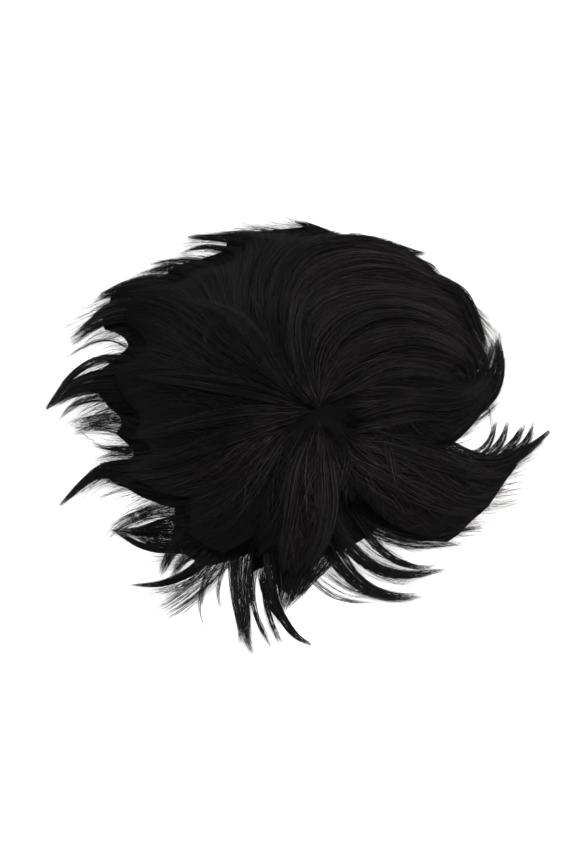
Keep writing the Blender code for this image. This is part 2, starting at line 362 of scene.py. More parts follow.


# How the combed hair lies: each row is one guide strand from the whorl to its tip, in pixels of the photo,
# anticlockwise from the right. Before the path stand its tone and three shares of its length: where hair first
# shows, how far the imported hair reaches, and how far it reaches half way to the next row. The tone lays
# painted light by region: brown rows carry painted highlight, blue rows painted sheen.
# where hair first shows late, the dark packing below shows through as painted shade
guides = (
    (
        "umberFibre", 0.10, 0.90, 0.92,
        ((321, 407), (350, 409), (390, 405), (430, 408), (463, 404), (487, 389), (501, 366), (499, 341)),
    ),
    (
        "coalFibre", 0.06, 0.94, 0.92,
        ((321, 406), (350, 392), (390, 384), (430, 386), (462, 386), (484, 374), (494, 352)),
    ),
    ("umberFibre", 0.03, 0.98, 0.98, ((320, 405), (345, 380), (380, 366), (420, 364), (450, 370), (472, 386))),
    (
        "umberFibre", 0.00, 0.98, 0.98,
        ((319, 404), (335, 370), (370, 346), (410, 338), (445, 346), (468, 362), (480, 386)),
    ),
    (
        "umberFibre", 0.00, 0.96, 0.94,
        ((318, 404), (322, 355), (350, 325), (390, 312), (430, 318), (462, 335), (480, 358), (486, 384)),
    ),
    (
        "umberFibre", 0.00, 0.90, 0.90,
        ((317, 404), (308, 350), (318, 312), (355, 294), (400, 292), (440, 302), (470, 322), (486, 348), (489, 368)),
    ),
    (
        "umberFibre", 0.00, 0.92, 0.95,
        ((316, 404), (298, 350), (300, 305), (325, 278), (370, 266), (410, 273), (445, 288), (467, 303), (484, 332)),
    ),
    (
        "coalFibre", 0.00, 1.00, 1.00,
        ((315, 404), (288, 350), (285, 300), (303, 260), (343, 243), (385, 245), (418, 260), (440, 279), (466, 300)),
    ),
    (
        "coalFibre", 0.00, 1.00, 1.00,
        ((314, 405), (284, 355), (276, 305), (288, 262), (320, 238), (362, 235), (395, 243), (422, 259), (438, 276)),
    ),
    (
        "coalFibre", 0.00, 1.00, 1.00,
        ((313, 405), (280, 360), (266, 315), (268, 272), (292, 242), (320, 230), (312, 225), (296, 219)),
    ),
    (
        "inkFibre", 0.02, 1.00, 0.86,
        ((313, 406), (275, 365), (250, 325), (246, 285), (256, 253), (262, 235), (238, 230), (205, 234)),
    ),
    (
        "inkFibre", 0.04, 0.94, 0.90,
        ((312, 406), (270, 368), (240, 335), (220, 300), (212, 276), (195, 266), (165, 264), (148, 269)),
    ),
    (
        "inkFibre", 0.04, 1.00, 0.98,
        ((312, 407), (268, 374), (230, 348), (200, 318), (175, 298), (150, 287), (120, 289), (98, 298)),
    ),
    (
        "inkFibre", 0.02, 0.92, 0.77,
        ((311, 407), (265, 382), (222, 362), (185, 340), (155, 322), (125, 320), (95, 332), (74, 345)),
    ),
    (
        "coalFibre", 0.00, 0.86, 0.88,
        ((311, 408), (262, 391), (215, 380), (170, 369), (130, 366), (95, 374), (66, 393), (50, 407)),
    ),
    (
        "coalFibre", 0.00, 0.88, 0.84,
        ((311, 409), (258, 402), (210, 400), (165, 396), (125, 400), (95, 410), (72, 424)),
    ),
    (
        "coalFibre", 0.02, 0.88, 0.88,
        ((311, 410), (258, 412), (210, 418), (165, 424), (130, 430), (100, 428), (75, 430)),
    ),
    ("umberFibre", 0.05, 0.92, 0.94, ((312, 411), (260, 421), (215, 433), (175, 446), (140, 450), (105, 448))),
    (
        "umberFibre", 0.16, 0.84, 0.84,
        ((312, 412), (262, 430), (222, 450), (185, 466), (150, 473), (115, 474), (86, 485), (64, 504)),
    ),
    (
        "umberFibre", 0.20, 0.78, 0.82,
        ((313, 413), (268, 440), (235, 466), (205, 486), (180, 497), (150, 509), (122, 523)),
    ),
    (
        "coalFibre", 0.16, 0.86, 0.82,
        ((314, 413), (275, 448), (250, 480), (225, 508), (198, 526), (160, 536), (125, 533)),
    ),
    (
        "coalFibre", 0.04, 0.76, 0.62,
        ((315, 414), (284, 456), (265, 492), (248, 525), (220, 551), (185, 575), (145, 585)),
    ),
    (
        "coalFibre", 0.04, 0.72, 0.66,
        ((316, 414), (294, 462), (282, 500), (268, 535), (250, 565), (238, 600), (243, 640)),
    ),
    (
        "umberFibre", 0.04, 0.76, 0.78,
        ((317, 414), (304, 465), (298, 505), (288, 545), (274, 575), (266, 600), (272, 636)),
    ),
    (
        "umberFibre", 0.04, 0.78, 0.60,
        ((318, 414), (314, 468), (312, 508), (305, 548), (289, 585), (284, 612), (306, 642)),
    ),
    (
        "umberFibre", 0.06, 0.52, 0.38,
        ((319, 414), (326, 468), (332, 505), (332, 542), (347, 571), (380, 592), (413, 598)),
    ),
    (
        "coalFibre", 0.12, 0.48, 0.48,
        ((320, 413), (338, 465), (352, 498), (362, 528), (385, 557), (413, 572), (440, 570)),
    ),
    ("umberFibre", 0.14, 0.96, 0.98, ((321, 413), (350, 460), (372, 490), (398, 517), (430, 533), (467, 541))),
    ("umberFibre", 0.15, 0.98, 1.02, ((321, 412), (360, 453), (390, 477), (425, 500), (456, 517), (489, 513))),
    ("umberFibre", 0.16, 1.02, 1.00, ((322, 411), (368, 444), (400, 462), (435, 478), (470, 491), (507, 488))),
    (
        "coalFibre", 0.16, 0.84, 0.60,
        ((322, 410), (372, 433), (408, 444), (445, 457), (485, 464), (518, 455), (547, 434)),
    ),
    (
        "coalFibre", 0.14, 0.90, 0.92,
        ((322, 409), (368, 420), (405, 424), (442, 425), (472, 411), (494, 391), (503, 365)),
    ),
)

# Locks that stand clear of the rest: the way each lies, as places and widths in pixels of the photo, then its
# strands, how far single ends stray (mm) and how high it arches (mm)
clearLocks = {
    "leftHook": (
        ((175, 381, 42), (142, 381, 38), (118, 381, 34), (98, 382, 30), (81, 386, 24), (67, 393, 17), (56, 401, 10), (46, 409, 4)),
        640, 0.5, 3,
    ),
    "leftHookRim": (
        ((150, 362, 9), (125, 359, 8), (103, 359, 9), (85, 366, 9), (69, 379, 7), (56, 396, 5), (46, 409, 3)),
        230, 0.6, 4,
    ),
    "leftHookUnder": (((140, 398, 14), (112, 398, 12), (92, 399, 9), (73, 405, 6), (59, 418, 2)), 90, 1.0, 3),
    "leftArcLow": (
        ((140, 358, 4), (131, 349, 4), (115, 341, 3), (97, 341, 3), (78, 350, 2), (60, 363, 1)),
        34, 0.5, 4,
    ),
    "leftArcHigh": (((138, 350, 3), (131, 339, 3), (112, 331, 3), (95, 336, 3), (75, 352, 2)), 16, 0.8, 4),
    "leftFanLow": (((165, 330, 16), (140, 320, 13), (115, 319, 10), (92, 329, 6), (72, 345, 3)), 110, 1.2, 4),
    "leftFanMid": (((160, 320, 14), (135, 311, 11), (110, 314, 9), (88, 326, 7), (70, 340, 5)), 90, 1.2, 4),
    "leftFanHigh": (((158, 308, 20), (132, 303, 15), (108, 308, 11), (92, 320, 6), (79, 331, 3)), 190, 0.7, 3),
    "upperLeftTip": (((185, 292, 30), (155, 287, 23), (125, 290, 16), (97, 298, 8)), 330, 0.8, 3),
    "upperLeftTop": (((195, 283, 14), (165, 278, 10), (135, 281, 7), (99, 295, 3)), 140, 0.6, 3),
    "backSpikeLow": (((205, 272, 16), (180, 268, 11), (160, 270, 7), (145, 275, 4)), 130, 0.9, 2),
    "backSpikeMid": (((215, 266, 9), (190, 262, 6), (168, 262, 4), (148, 265, 2)), 70, 0.8, 2),
    "backThin": (((225, 261, 4), (205, 261, 3), (190, 258, 3), (176, 256, 2)), 18, 0.8, 2),
    "backPairLow": (((255, 252, 14), (230, 250, 10), (205, 247, 6), (180, 253, 2)), 130, 0.6, 2),
    "backPairHigh": (((265, 243, 18), (240, 240, 13), (215, 238, 9), (187, 237, 3)), 210, 0.7, 2),
    "backTuft": (((350, 247, 22), (332, 238, 15), (315, 229, 9), (296, 221, 3)), 260, 0.6, 2),
    "shoulderTuft": (((370, 258, 20), (395, 250, 13), (412, 252, 8), (427, 254, 3)), 170, 0.8, 2),
    "shoulderEdge": (((385, 262, 22), (410, 262, 15), (430, 268, 9), (440, 280, 4)), 190, 0.8, 2),
    "rightBack": (((410, 285, 26), (435, 281, 19), (452, 286, 13), (466, 297, 5)), 240, 0.8, 3),
    "rightBackThin": (((425, 272, 4), (440, 276, 3), (450, 284, 2)), 18, 0.8, 3),
    "rightBrow": (
        ((430, 282, 18), (452, 288, 18), (464, 299, 18), (471, 314, 18), (477, 330, 16), (484, 347, 10)),
        300, 0.5, 3,
    ),
    "rightCheek": (((430, 322, 24), (455, 335, 30), (470, 352, 32), (478, 375, 26), (476, 400, 16)), 380, 1.0, 2),
    "rightRim": (
        ((420, 428, 18), (447, 421, 20), (470, 411, 20), (487, 397, 19), (496, 380, 18), (499, 362, 14), (499, 348, 9), (498, 337, 3)),
        420, 0.5, 3,
    ),
    "rightRimTuft": (((486, 395, 12), (498, 375, 9), (499, 355, 6), (497, 337, 3)), 90, 0.9, 3),
    "rightInnerTuft": (((470, 385, 10), (484, 370, 7), (491, 352, 4), (492, 339, 2)), 60, 0.9, 3),
    "lobeHook": (
        ((400, 445, 36), (440, 452, 34), (472, 463, 28), (500, 463, 20), (520, 454, 12), (535, 444, 7), (550, 431, 3)),
        600, 0.7, 3,
    ),
    "lobeSpikeOne": (((450, 461, 14), (474, 456, 10), (489, 443, 7), (497, 419, 2)), 110, 0.9, 3),
    "lobeSpikeTwo": (((462, 463, 14), (487, 456, 10), (502, 440, 7), (509, 419, 2)), 120, 0.9, 3),
    "lobeSpikeThree": (((478, 463, 16), (499, 456, 12), (514, 442, 8), (526, 423, 3)), 140, 1.1, 3),
    "lobeSpikeFour": (((488, 463, 14), (511, 454, 10), (527, 441, 7), (535, 421, 2)), 130, 1.1, 3),
    "lobeLower": (((400, 465, 30), (440, 475, 21), (475, 481, 12), (506, 478, 4)), 330, 1.0, 2),
    "lobeLowerSpike": (((450, 478, 10), (478, 480, 6), (492, 474, 4), (502, 466, 2)), 60, 0.9, 2),
    "lobeThird": (((390, 475, 28), (430, 488, 19), (468, 494, 11), (505, 489, 3)), 280, 1.0, 2),
    "lobeFourth": (((370, 480, 28), (405, 500, 20), (445, 509, 11), (489, 506, 3)), 260, 1.0, 2),
    "lobeFifth": (((355, 490, 32), (390, 516, 21), (430, 524, 12), (475, 516, 4)), 280, 0.9, 2),
    "lobeSixth": (((350, 500, 24), (385, 528, 17), (430, 535, 10), (481, 527, 2)), 190, 1.0, 2),
    "lobeSeventh": (((345, 505, 18), (375, 532, 13), (415, 545, 7), (466, 543, 2)), 110, 1.4, 2),
    "lobeFringe": (((365, 515, 24), (388, 532, 18), (408, 545, 14), (426, 553, 12)), 70, 2.0, 2),
    "bottomHookThin": (
        ((345, 492, 12), (353, 511, 8), (363, 528, 7), (375, 544, 6), (392, 558, 5), (410, 566, 5), (425, 568, 4), (442, 563, 2)),
        130, 0.6, 3,
    ),
    "bottomHookThick": (
        ((322, 500, 20), (336, 528, 13), (350, 548, 11), (366, 562, 10), (386, 572, 9), (410, 575, 7), (430, 572, 5), (450, 569, 2)),
        320, 0.5, 3,
    ),
    "bottomHookWisp": (((340, 530, 8), (355, 560, 6), (380, 577, 4), (405, 583, 3), (428, 581, 3)), 30, 1.2, 3),
    "bottomHookVeil": (((350, 518, 30), (370, 544, 24), (396, 561, 13), (424, 567, 7)), 90, 1.8, 3),
    "bottomHookSpare": (((350, 545, 6), (375, 566, 5), (405, 577, 4), (432, 576, 2)), 26, 1.0, 3),
    "bottomSweep": (
        ((318, 510, 26), (328, 540, 22), (342, 564, 18), (358, 581, 14), (376, 592, 11), (398, 597, 10), (424, 596, 7)),
        420, 0.8, 3,
    ),
    "bottomSweepThin": (((300, 550, 6), (312, 578, 5), (331, 595, 4), (355, 602, 3), (376, 603, 2)), 40, 0.7, 3),
    "bottomSweepVeil": (((320, 555, 20), (340, 578, 16), (365, 592, 11), (396, 600, 6)), 70, 1.4, 3),
    "bottomSweepFine": (((310, 565, 5), (325, 584, 4), (350, 598, 4), (384, 601, 3)), 18, 1.0, 3),
    "knotRight": (((335, 530, 30), (326, 555, 20), (310, 578, 11), (285, 607, 8)), 260, 0.6, 4),
    "knotMiddle": (((305, 520, 30), (300, 555, 21), (292, 585, 14), (282, 612, 8)), 220, 0.6, 4),
    "knotLeft": (((275, 520, 28), (272, 555, 20), (276, 588, 13), (282, 612, 8)), 300, 0.6, 4),
    "bottomClaw": (
        ((266, 560, 20), (268, 585, 16), (274, 604, 13), (282, 617, 9), (291, 630, 8), (300, 639, 6), (312, 645, 3)),
        280, 0.35, 3,
    ),
    "bottomThinOne": (((264, 555, 12), (265, 590, 7), (269, 615, 5), (277, 636, 4), (286, 649, 3)), 90, 1.2, 2),
    "bottomThinTwo": (((254, 555, 10), (252, 590, 6), (256, 614, 5), (266, 637, 4), (274, 649, 3)), 90, 1.0, 2),
    "bottomThinThree": (((263, 570, 6), (266, 600, 5), (270, 618, 6)), 30, 1.4, 2),
    "bottomWide": (
        ((245, 525, 30), (243, 560, 24), (242, 590, 18), (244, 620, 12), (247, 640, 8), (253, 655, 4)),
        330, 1.2, 3,
    ),
    "bottomWideLeft": (((238, 530, 14), (233, 565, 10), (235, 600, 7), (241, 630, 6), (241, 648, 5)), 80, 1.5, 3),
    "bottomStrayDown": (((228, 545, 14), (208, 575, 8), (201, 597, 5), (200, 617, 3)), 60, 1.2, 2),
    "bottomStrayTwo": (((236, 545, 8), (222, 572, 5), (218, 595, 4), (221, 613, 2)), 34, 1.0, 2),
    "bottomStrayLong": (((205, 590, 3), (200, 608, 2), (202, 622, 2), (207, 636, 1)), 6, 0.6, 1),
    "lowLeftWisps": (((240, 530, 34), (218, 560, 26), (196, 584, 20), (172, 602, 19), (148, 614, 18)), 150, 2.4, 3),
    "lowLeftWispsHigh": (((215, 560, 14), (195, 578, 11), (172, 588, 9), (146, 594, 8)), 44, 1.6, 3),
    "lowLeftWispsLow": (((225, 565, 12), (208, 588, 11), (188, 606, 10), (164, 622, 9)), 40, 1.8, 3),
    "lowLeftHook": (
        ((240, 515, 26), (222, 540, 18), (205, 559, 11), (188, 573, 8), (165, 583, 6), (148, 585, 4), (131, 585, 2)),
        320, 0.4, 4,
    ),
    "lowLeftStub": (((200, 525, 22), (178, 543, 14), (167, 561, 9), (160, 577, 6)), 190, 1.2, 3),
    "lowLeftStubTwo": (((208, 535, 16), (192, 551, 12), (179, 566, 9), (170, 579, 6)), 120, 1.3, 3),
    "leftScoop": (
        ((220, 516, 34), (190, 528, 34), (165, 528, 20), (140, 532, 9), (126, 532, 6), (113, 530, 3)),
        400, 0.7, 3,
    ),
    "leftScoopRim": (
        ((210, 538, 18), (190, 546, 14), (172, 549, 8), (155, 549, 6), (140, 545, 5), (127, 538, 4), (113, 529, 3)),
        230, 0.5, 3,
    ),
    "leftScoopFill": (((205, 534, 20), (180, 540, 15), (155, 541, 9), (132, 534, 5)), 200, 1.0, 3),
    "leftScoopFan": (((215, 497, 26), (185, 506, 20), (152, 513, 14), (126, 523, 12), (106, 538, 9)), 190, 1.8, 4),
    "leftScoopFine": (((205, 490, 10), (175, 500, 8), (145, 508, 7), (118, 521, 5), (97, 543, 4)), 34, 1.6, 4),
    "longHook": (
        ((200, 468, 44), (155, 472, 38), (125, 472, 28), (108, 470, 19), (96, 474, 12), (85, 482, 8), (73, 493, 6), (60, 506, 3)),
        600, 0.5, 3,
    ),
    "longHookUnder": (((215, 485, 22), (180, 494, 14), (148, 490, 8), (118, 482, 6), (96, 475, 4)), 200, 0.8, 3),
    "leftSpikes": (((180, 445, 16), (150, 448, 10), (125, 449, 6), (104, 448, 4), (90, 445, 2)), 120, 0.8, 3),
    "leftSpikesLow": (((165, 454, 14), (135, 454, 8), (112, 455, 5), (95, 460, 2)), 80, 0.9, 3),
    "leftSpikesStray": (((125, 450, 4), (102, 447, 3), (86, 436, 3), (75, 425, 3)), 10, 1.0, 3),
    "leftCombHigh": (((165, 418, 16), (138, 424, 12), (112, 417, 9), (86, 420, 7), (63, 426, 5)), 90, 1.4, 4),
    "leftCombMid": (((165, 425, 14), (140, 430, 11), (118, 422, 9), (95, 424, 7), (72, 430, 5)), 80, 1.4, 4),
    "leftCombLow": (((170, 436, 14), (142, 437, 10), (117, 430, 7), (92, 428, 5), (70, 436, 4)), 90, 1.2, 4),
    "leftCombTop": (((165, 405, 14), (140, 408, 11), (118, 408, 9), (100, 414, 7), (85, 424, 6)), 60, 1.4, 4),
    "strayLoop": (
        ((78, 430, 1), (55, 441, 1), (38, 456, 1), (33, 472, 1), (40, 490, 1), (52, 505, 1), (68, 514, 1)),
        2, 0.1, 3,
    ),
}

# Locks that overlap on the crown, in the same form. They break up the comb lines and carry the soft light.
crownLocks = {
    "fanRidge": (((316, 405, 6), (302, 375, 14), (295, 340, 16), (298, 308, 16), (314, 286, 12)), 200, 1.0, 2.0),
    "fanUpper": (
        ((317, 403, 6), (307, 350, 20), (316, 315, 26), (346, 297, 26), (386, 291, 22), (428, 297, 12)),
        330, 1.4, 1.0,
    ),
    "fanMiddle": (
        ((318, 402, 6), (319, 355, 20), (340, 325, 28), (376, 309, 30), (416, 311, 26), (452, 326, 12)),
        350, 1.4, 1.5,
    ),
    "fanLower": (
        ((320, 402, 6), (336, 368, 20), (366, 345, 28), (406, 335, 28), (440, 342, 22), (466, 360, 10)),
        300, 1.4, 1.2,
    ),
    "fanFoot": (((326, 400, 6), (352, 388, 12), (386, 372, 20), (420, 370, 18), (452, 380, 10)), 180, 1.2, 1.0),
    "wedgeTuft": (((318, 408, 4), (306, 396, 12), (294, 383, 12), (284, 368, 8), (278, 350, 5)), 130, 1.0, 2.0),
    "rightBand": (
        ((345, 420, 8), (375, 411, 16), (410, 402, 20), (440, 404, 20), (470, 398, 14), (492, 378, 8)),
        240, 1.2, 1.5,
    ),
    "rightLowBand": (((350, 432, 6), (385, 424, 12), (420, 418, 12), (452, 423, 6)), 110, 1.2, 1.0),
    "crossingWisp": (((380, 428, 6), (390, 455, 8), (395, 482, 7), (404, 508, 4)), 50, 1.2, 2.0),
    "lobeUpper": (((352, 440, 8), (390, 449, 16), (430, 463, 20), (470, 474, 14), (500, 474, 6)), 220, 1.3, 1.0),
    "lobeUnder": (((345, 455, 8), (380, 474, 16), (414, 496, 18), (450, 510, 12), (478, 511, 5)), 180, 1.3, 1.0),
    "frontPatch": (((322, 428, 6), (325, 465, 18), (327, 505, 26), (321, 540, 20), (308, 568, 8)), 280, 1.2, 1.5),
    "frontLeft": (((312, 432, 5), (297, 465, 14), (290, 505, 18), (284, 545, 14), (280, 575, 6)), 180, 1.2, 1.0),
    "frontCross": (((342, 436, 5), (348, 458, 8), (342, 482, 7), (330, 500, 4)), 44, 1.4, 1.5),
    "leftBandLow": (((306, 413, 5), (264, 424, 16), (215, 440, 20), (172, 456, 16), (140, 464, 6)), 220, 1.2, 1.5),
    "leftBand": (((305, 410, 5), (262, 412, 16), (212, 418, 18), (168, 428, 14), (138, 434, 5)), 180, 1.2, 1.0),
    "leftBandHigh": (((304, 406, 5), (262, 394, 16), (215, 384, 20), (170, 378, 16), (138, 376, 6)), 200, 1.2, 1.0),
    "backArch": (((302, 398, 5), (276, 368, 14), (255, 335, 18), (228, 312, 18), (190, 300, 10)), 190, 1.4, 1.5),
    "backCurl": (((206, 352, 3), (206, 337, 4), (213, 324, 4), (228, 316, 3)), 16, 0.8, 2.0),
    "backCurlTwo": (((240, 322, 3), (250, 338, 4), (256, 352, 3), (260, 366, 2)), 16, 0.8, 2.0),
}


def roundedPath(points, samples):
    # a smooth line through the measured points, evenly spaced along its length
    points = np.array(points, float)
    ends = np.vstack([2 * points[:1] - points[1:2], points, 2 * points[-1:] - points[-2:-1]])
    t = np.linspace(0, 1, 12, endpoint=False)[:, None]
    pieces = []
    for a, b, c, d in zip(ends, ends[1:], ends[2:], ends[3:]):
        pieces.append(0.5 * (2 * b + (c - a) * t + (2 * a - 5 * b + 4 * c - d) * t**2 + (3 * b - a - 3 * c + d) * t**3))
    line = np.vstack(pieces + [points[-1:]])
    run = np.concatenate([[0], np.cumsum(np.linalg.norm(np.diff(line, axis=0), axis=1))])
    even = np.linspace(0, run[-1], samples)
    return np.stack([np.interp(even, run, line[:, 0]), np.interp(even, run, line[:, 1])], -1)


def layOn(layer, pixels, share=1.0, arch=0.0):
    # the plan places whose hair shows at these pixels: share of the layer's depth, and metres above it
    plan = planOf(pixels, 0.02)
    for _ in range(6):
        x, y = plan[..., 0], plan[..., 1]
        seat = seatHeight(x, y)
        plan = planOf(pixels, seat + (layerTop(layer, x, y) - seat) * share + arch)
    return plan


guideSteps = 33
guideMap = {
    layer: np.stack([layOn(layer, roundedPath(row[-1], guideSteps)) for row in guides])
    for layer in ("under", "middle", "top")
}
guideBare, guideBody, guideMeet = (np.array([row[column] for row in guides]) for column in (1, 2, 3))
# each guide's fibre, so the brown rows carry painted highlight and the blue rows painted sheen
guideTone = np.array([fibreNames.index(row[0]) for row in guides])


def guidePlace(layer, row, across, along):
    # across runs 0 to 1 from a guide to the next one anticlockwise, along 0 to 1 from whorl to tip
    along = np.clip(along, 0, strand["pastTip"])
    step = np.minimum((along * (guideSteps - 1)).astype(int), guideSteps - 2)
    rest = (along * (guideSteps - 1) - step)[..., None]
    sides = []
    for number in (row, (row + 1) % len(guides)):
        here, there = guideMap[layer][number, step], guideMap[layer][number, step + 1]
        sides.append(here + (there - here) * rest)
    return sides[0] + (sides[1] - sides[0]) * across[..., None]


def packedReach(row, across):
    # how far out the hair is closely packed: less between two guides than on them
    edge = np.where(across < 0.5, guideBody[row], guideBody[(row + 1) % len(guides)])
    return guideMeet[row] + (edge - guideMeet[row]) * np.abs(2 * across - 1) ** 1.5


def taperedWidths(rng, count, t, widthMm):
    width = widthMm / 1000 * rng.uniform(*strand["widthSpread"], count)
    root = strand["rootWidth"] + (1 - strand["rootWidth"]) * smooth(0, 0.15, t)
    return width[:, None] * root * (1 - strand["tipTaper"] * smooth(0.7, 1.0, t))


def strayLift(rng, count, hair):
    return (rng.random(count) ** strand["liftPower"] * hair["strandLift"])[:, None]


def heldIn(plan):
    # tips that pass the frame's box bend back softly before they reach the most that they may stand out
    room = form["proudMost"] - form["proudFrom"]
    low = np.array(cadBounds[0][:2]) - form["proudFrom"]
    high = np.array(cadBounds[1][:2]) + form["proudFrom"]
    over = np.maximum(plan - high, 0) - np.maximum(low - plan, 0)
    return np.clip(plan, low, high) + np.sign(over) * room * (1 - np.exp(-np.abs(over) / room))


def raisedTo(layer, below, plan, level, lift):
    plan = heldIn(plan)
    x, y = plan[..., 0], plan[..., 1]
    low, high = layerTop(below, x, y), layerTop(layer, x, y)
    z = low + (high - low) * level + lift
    return np.stack([x, y, np.maximum(z, strand["leastHeight"])], -1)


def growCombedHair(hair, rng):
    # hair that follows the guide strands, in wisps within wisps
    layer, count, rows = hair["layer"], hair["strands"], len(guides)
    lines = guideMap[layer]
    length = np.linalg.norm(np.diff(lines, axis=1), axis=-1).sum(1)
    gap = np.linalg.norm(lines - np.roll(lines, -1, axis=0), axis=-1).mean(1)
    weight = length * gap + combed["narrowGap"] * (length * gap).mean()
    row = np.sort(rng.choice(rows, count, p=weight / weight.sum()))
    root = rng.uniform(0, 1, count)
    t = np.linspace(0, 1, hair["points"])
    across, shift, ends = root[:, None] + 0 * t, 0, 1.0
    for fewest, most, pull, sway, spread in hair["wispLevels"]:
        wisps = rng.integers(fewest, most, rows, endpoint=True)
        wisp = np.minimum((root * wisps[row]).astype(int), wisps[row] - 1)
        offset = rng.normal(0, combed["wispOffset"], (rows, most))
        middle = (np.arange(most) + 0.5 + offset) / wisps[:, None]
        bow = rng.normal(0, sway, (rows, most))[row, wisp]
        ends = ends * (1 - spread * rng.random((rows, most)))[row, wisp]
        across = across + (middle[row, wisp][:, None] - across) * pull * smooth(0.1, 1.0, t)
        phase, turns = rng.uniform(0, 6.3, (2, rows, most))[:, row, wisp]
        shift = shift + bow[:, None] * np.sin(phase[:, None] + (2 + turns[:, None]) * t)
    start = rng.uniform(0, 1, count) ** hair["rootPull"]
    start = hair["roots"][0] + (hair["roots"][1] - hair["roots"][0]) * start
    start = np.maximum(start, guideBare[row] * rng.uniform(*combed["bareSpread"], count))
    end = hair["reach"] * ends * (1 - hair["uneven"] * rng.random(count) ** combed["endPower"])
    short = rng.random(count) < hair["shortShare"]
    end = np.where(short, np.minimum(start + rng.uniform(*combed["shortRun"], count), end), end)
    filled = np.maximum(end - rng.uniform(*combed["fillRun"], count), combed["fillRoot"])
    start = np.where(start > end - combed["leastRun"], filled, start)
    along = start[:, None] + (end - start)[:, None] * t
    reach = packedReach(row, root)[:, None]
    plan = guidePlace(layer, row[:, None], across, along * reach)
    fray = np.clip(rng.standard_t(3, (count, 1)), -combed["frayMost"], combed["frayMost"]) * hair["fray"] * t**2
    cross = rng.normal(0, 1, (count, 1)) * (t - combed["crossTurn"]) * hair["cross"]
    narrow = smooth(0, 0.3, along)
    plan = plan + quarterTurn(unit(np.gradient(plan, axis=1))) * ((shift + fray + cross) * narrow)[..., None]
    level = (combed["topLevel"] - combed["levelSpread"] * rng.random(count) ** combed["levelPower"])[:, None]
    level = level * (combed["rootLevel"] + (1 - combed["rootLevel"]) * smooth(0, 0.2, t))
    level = level * (1 - combed["tipDrop"] * smooth(0.8, 1.0, along))
    rounding = (2 * (root * wisps[row] - wisp) - 1) ** 2
    lift = -hair["relief"] * rounding[:, None] * smooth(0.1, 0.5, along)
    lift = lift + strayLift(rng, count, hair) * t**2
    paths = raisedTo(layer, hair["below"], plan, level, lift)
    # most strands take their guide's fibre, and with it that region's painted highlight and painted sheen
    tints = np.where(rng.random(count) < hair["toneShare"], guideTone[row], rng.integers(0, 3, count))
    return row, paths, taperedWidths(rng, count, t, hair["widthMm"]), tints


def growLaidLock(rng, lock, hair):
    # a lock that lies along its own measured path: rounded in section and gathering into a few wisps
    measured, count, stray, arch = lock
    measured = np.array(measured, float)
    steps = np.linspace(0, 1, guideSteps)
    hump = arch / 1000 * 4 * steps * (1 - steps)
    centre = layOn(hair["layer"], roundedPath(measured[:, :2], guideSteps), hair["level"], hump)
    run = np.concatenate([[0], np.cumsum(np.linalg.norm(np.diff(measured[:, :2], axis=0), axis=1))])
    spread = np.interp(steps, run / run[-1], measured[:, 2] * view["metresPerPixel"] / 2)
    t = np.linspace(0, 1, hair["points"])
    start = rng.uniform(0, laidLock["rootSpread"], count)
    u = rng.uniform(-1, 1, count)
    wisps = max(2, int(measured[0, 2] / laidLock["pixelsPerWisp"]))
    wisp = np.minimum(((u + 1) / 2 * wisps).astype(int), wisps - 1)
    wispMiddle = ((np.arange(wisps) + 0.5) / wisps * 2 - 1) * laidLock["wispReach"]
    wispMiddle = wispMiddle + rng.normal(0, laidLock["wispOffset"], wisps)
    end = laidLock["endMost"] - hair["uneven"] * rng.random(count) ** laidLock["endPower"]
    end = end * (1 - laidLock["wispEnds"] * rng.random(wisps) ** 2)[wisp]
    end = np.maximum(end * (1 - laidLock["edgeShorter"] * np.abs(u)), start + laidLock["leastRun"])
    along = start[:, None] + (end - start)[:, None] * t
    gathered = u[:, None] + (wispMiddle[wisp] - u)[:, None] * laidLock["gather"] * smooth(0.2, 0.9, along)
    loose = np.where(rng.random(count) < hair["looseShare"], laidLock["looseStray"], 1.0)
    wild = (rng.normal(0, 1, count) * stray / 1000 * loose)[:, None]
    side = gathered * np.interp(along, steps, spread) + wild * t ** laidLock["strayPower"]
    side = side + rng.normal(0, 1, (count, 1)) * np.sin(math.pi * t) * hair["wander"]
    place = np.stack([np.interp(along, steps, centre[:, axis]) for axis in (0, 1)], -1)
    plan = place + quarterTurn(unit(np.gradient(place, axis=1))) * side[..., None]
    depth = (rng.uniform(-1, 1, count) * np.sqrt(1 - laidLock["flatness"] * u**2))[:, None]
    level = hair["level"] + hair["thick"] * depth - hair["thick"] * (1 - smooth(0, 0.25, t))
    lift = np.interp(along, steps, hump) * (1 + laidLock["archSpread"] * depth)
    lift = lift + strayLift(rng, count, hair) * t**2
    paths = raisedTo(hair["layer"], "seat", plan, level, lift)
    # shares of the plain fibre, the painted-highlight fibre and the painted-sheen fibre
    tints = rng.choice(3, count, p=hair["tints"])
    return paths, taperedWidths(rng, count, t, hair["widthMm"]) / np.sqrt(loose)[:, None], tints


def finishPiece(hair, name, paths, widths, tints, rng):
    piece = ribbons(name, paths, widths, rng.uniform(-strand["rollMost"], strand["rollMost"], len(paths)), tints)
    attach(piece, "root")
    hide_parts(hair["node"])
    print("toupee:", name, len(paths), "strands,", 2 * len(piece.data.polygons), "triangles")


def combedPieces(hair):
    # grows one layer and parts it into pieces, each under 200,000 triangles
    rng = np.random.default_rng(hair["seed"])
    row, paths, widths, tints = growCombedHair(hair, rng)
    cuts = [0, *hair["cuts"], len(guides)]
    for name, low, high in zip(hair["names"], cuts, cuts[1:]):
        mine = (row >= low) & (row < high)
        finishPiece(hair, name, paths[mine], widths[mine], tints[mine], rng)


def laidLockPiece(hair, name, locks):
    rng = np.random.default_rng(hair["seed"])
    grown = [growLaidLock(rng, lock, hair) for lock in locks]
    paths, widths, tints = (np.concatenate(kind) for kind in zip(*grown))
    finishPiece(hair, name, paths, widths, tints, rng)


